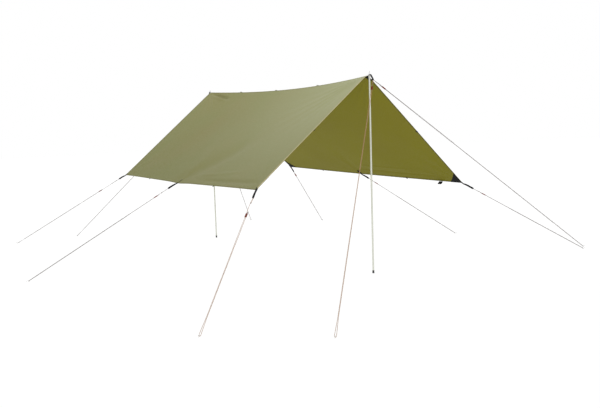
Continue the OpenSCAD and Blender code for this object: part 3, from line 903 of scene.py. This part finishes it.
def washer(name, centre, inner, outer, thick):
    """A flat level ring of webbing with softened edges."""
    sides = 40
    edge = min(0.0004, thick / 3)
    profile = [(inner, -thick / 2 + edge), (inner, thick / 2 - edge), (inner + edge, thick / 2),
               (outer - edge, thick / 2), (outer, thick / 2 - edge), (outer, -thick / 2 + edge),
               (outer - edge, -thick / 2), (inner + edge, -thick / 2)]
    verts, faces, uvs = [], [], []
    for k in range(sides):
        angle = 2 * math.pi * k / sides
        verts += [centre + np.array([r * math.cos(angle), r * math.sin(angle), z]) for r, z in profile]
    size = len(profile)
    for k in range(sides):
        n = (k + 1) % sides
        for i in range(size):
            j = (i + 1) % size
            faces.append((k * size + i, k * size + j, n * size + j, n * size + i))
            uvs += [(k * 0.002, i * 0.001)] * 4
    obj = new_object(name, verts, faces, uvs, WEBBING)
    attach(obj, "canopy")
    return obj


def add_ridge_tabs():
    """The black webbing tab under each ridge end that carries the eyelet out to the pole."""
    for word, inward in (("front", 1), ("rear", -1)):
        top = np.array([0, POLE_Y[word], EYELET_Z[word]])
        plate = washer(f"{word}_tab_eye", top, inner=0.0062, outer=0.0145, thick=0.0020)
        end_u = 0.0 if inward > 0 else 1.0
        points = [top + [0, inward * 0.0115, -0.0002], top + [0, inward * 0.018, -0.0028]]
        for reach in (0.003, 0.036, 0.066):
            points.append(cloth(abs(end_u - reach / CLOTH_LENGTH), 0.0, -0.0046))
        band = sweep(f"{word}_ridge_tab", smooth_path(points, 0.004), flat_outline(0.012, 0.0016),
                     np.array([0, 0, 1.0]), WEBBING)
        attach(band, "canopy")
        if inward > 0:
            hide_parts("ridge_tabs")


def add_loops():
    """Small webbing loops: three on the ridge, and one tab at each quarter of the edges."""
    for k, u in enumerate((0.25, 0.5, 0.75)):
        foot = cloth(u, 0.0, 0.0020)
        ahead = unit(cloth(u + 0.01, 0.0) - foot)
        across = np.array([1.0, 0, 0])
        up = np.cross(across, ahead)
        arch = [foot - ahead * 0.022, foot - ahead * 0.010, foot - ahead * 0.006 + up * 0.004,
                foot + up * 0.006, foot + ahead * 0.006 + up * 0.004, foot + ahead * 0.010,
                foot + ahead * 0.022]
        path = smooth_path(arch, 0.002)
        band = band_along(f"ridge_loop_{k + 1}", path, [across] * len(path), width=0.010, thick=0.0012,
                          mat=LOOP_WEBBING)
    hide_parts("ridge_loops")
    hem, gable = [], []
    for side, word in ((-1.0, "left"), (1.0, "right")):
        for u in (0.25, 0.75):
            hem.append(edge_loop(f"{word}_hem_loop_{'front' if u < 0.5 else 'rear'}", u, side))
        for end in (0.0, 1.0):
            gable.append(edge_loop(f"{word}_gable_loop_{'front' if end < 0.5 else 'rear'}", end, side * 0.5))
    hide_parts("hem_loops")
    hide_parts("gable_loops")


def edge_loop(name, u, w):
    """A flat loop sewn under an edge, reaching 8 mm out."""
    sewn = 0.016
    lift = -0.0034
    if abs(w) > 0.9:
        inner = cloth(u, w * (1 - sewn / CLOTH_SLOPE), lift)
    else:
        shift = sewn / CLOTH_LENGTH if u < 0.5 else -sewn / CLOTH_LENGTH
        inner = cloth(u + shift, w, lift)
    edge = cloth(u, w, lift)
    out = unit(edge - inner)
    near = min(0.999, max(0.001, u))
    up = unit(cloth(near, w, 0.01) - cloth(near, w))
    aside = unit(np.cross(out, up))
    points = [inner, edge - out * 0.003, edge + out * 0.004 + up * 0.0008, edge + out * 0.0075,
              edge + out * 0.004 - up * 0.0026, edge - out * 0.003 - up * 0.0018, inner - up * 0.0016]
    path = smooth_path(points, 0.002)
    return band_along(name, path, [aside] * len(path), width=0.013, thick=0.0012)


def add_hem_tab():
    """A doubled tab of black webbing that hangs slanting inward under the right hem."""
    pivot = hem_point(RIGHT_TIES, np.array(0.09)) - [0.002, 0, 0.0045]
    level = np.array([0, 1.0, 0])
    hang = unit([-1, 0, -1])
    out = np.cross(level, hang)
    points = [pivot + hang * 0.001 + out * 0.0012, pivot + hang * 0.014 + out * 0.0020,
              pivot + hang * 0.030 + out * 0.0022, pivot + hang * 0.0355,
              pivot + hang * 0.030 - out * 0.0022, pivot + hang * 0.014 - out * 0.0016,
              pivot + hang * 0.001 - out * 0.0010]
    path = smooth_path(points, 0.002)
    tab = band_along("hem_tab_webbing", path, [level] * len(path), width=0.047, thick=0.0017,
                     body="hem_tab")
    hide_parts("hem_tab")


# ---------------------------------------------------------------- carried-over CAD parts
def dress(node, mat):
    """Gives a piece carried over from the CAD its material."""
    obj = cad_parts[node]
    if not obj.data.materials:
        obj.data.materials.append(mat)
    for slot in obj.material_slots:
        slot.material = mat


def dress_cad():
    for name in GUYS:
        dress(f"runner_{name}", RUNNER)
        dress(f"peg_{name}", PEG_STEEL)
    for word in ("front", "rear"):
        for part in ("upper", "middle", "lower"):
            dress(f"{word}_pole_{part}", ALUMINIUM)
        dress(f"{word}_pole_spike", PEG_STEEL)
        dress(f"{word}_pole_foot", BLACK_PLASTIC)
        dress(f"{word}_pole_cord", SHOCK_CORD)
    dress("ridge_eyelets", EYELET)


# ---------------------------------------------------------------- floor and light
def add_stage():
    """A round level floor that glows almost white, so that it looks as even as the backdrop."""
    mat, nodes, links, shader = material("pale_floor", (0.012, 0.012, 0.012), 0.9)
    shader.inputs["Emission Color"].default_value = (1, 1, 1, 1)
    shader.inputs["Emission Strength"].default_value = 0.972
    place = nodes.new("ShaderNodeTexCoord").outputs["Object"]
    tone = ramp(nodes, links, noise_node(nodes, links, place, 1.2, 3), 0.3, 0.7)
    links.new(mix_colour(nodes, links, tone, (0.011, 0.011, 0.011), (0.014, 0.014, 0.014)),
              shader.inputs["Base Color"])
    radius = 60.0
    sides = 96
    rim = [(radius * math.cos(a), POLE_GAP / 2 + radius * math.sin(a), 0)
           for a in np.linspace(0, 2 * math.pi, sides, endpoint=False)]
    floor = new_object("floor", rim, [tuple(range(sides))], None, mat, smooth=False)


def add_light():
    """An even white surround, a soft key sun and a weak fill sun."""
    world = bpy.data.worlds.new("studio")
    world.use_nodes = True
    nodes, links = world.node_tree.nodes, world.node_tree.links
    background = nodes["Background"]
    background.inputs["Color"].default_value = (1, 1, 1, 1)
    background.inputs["Strength"].default_value = 0.75
    # The backdrop itself is seen as plain white.
    seen = nodes.new("ShaderNodeBackground")
    seen.inputs["Color"].default_value = (1, 1, 1, 1)
    choose = nodes.new("ShaderNodeMixShader")
    links.new(nodes.new("ShaderNodeLightPath").outputs["Is Camera Ray"], choose.inputs["Fac"])
    links.new(background.outputs[0], choose.inputs[1])
    links.new(seen.outputs[0], choose.inputs[2])
    links.new(choose.outputs[0], nodes["World Output"].inputs["Surface"])
    scene.world = world
    for name, energy, angle, turn in (("key", 1.1, 30, (38, -24, 0)), ("fill", 0.3, 60, (-40, 40, 0))):
        data = bpy.data.lights.new(name, "SUN")
        data.energy = energy
        data.angle = math.radians(angle)
        lamp = bpy.data.objects.new(name, data)
        lamp.rotation_euler = [math.radians(a) for a in turn]
        scene.collection.objects.link(lamp)
    scene.view_settings.view_transform = "Standard"


add_camera()
for guy_name, guy_row in GUYS.items():
    add_guy(guy_name, guy_row)
canopy = add_canopy()
sewn_on = add_hems() + add_patches()
sewn_on.append(add_ridge_seam())
add_tie_straps()
add_pole_straps()
add_ridge_tabs()
add_loops()
add_hem_tab()
dress_cad()
add_stage()
add_light()
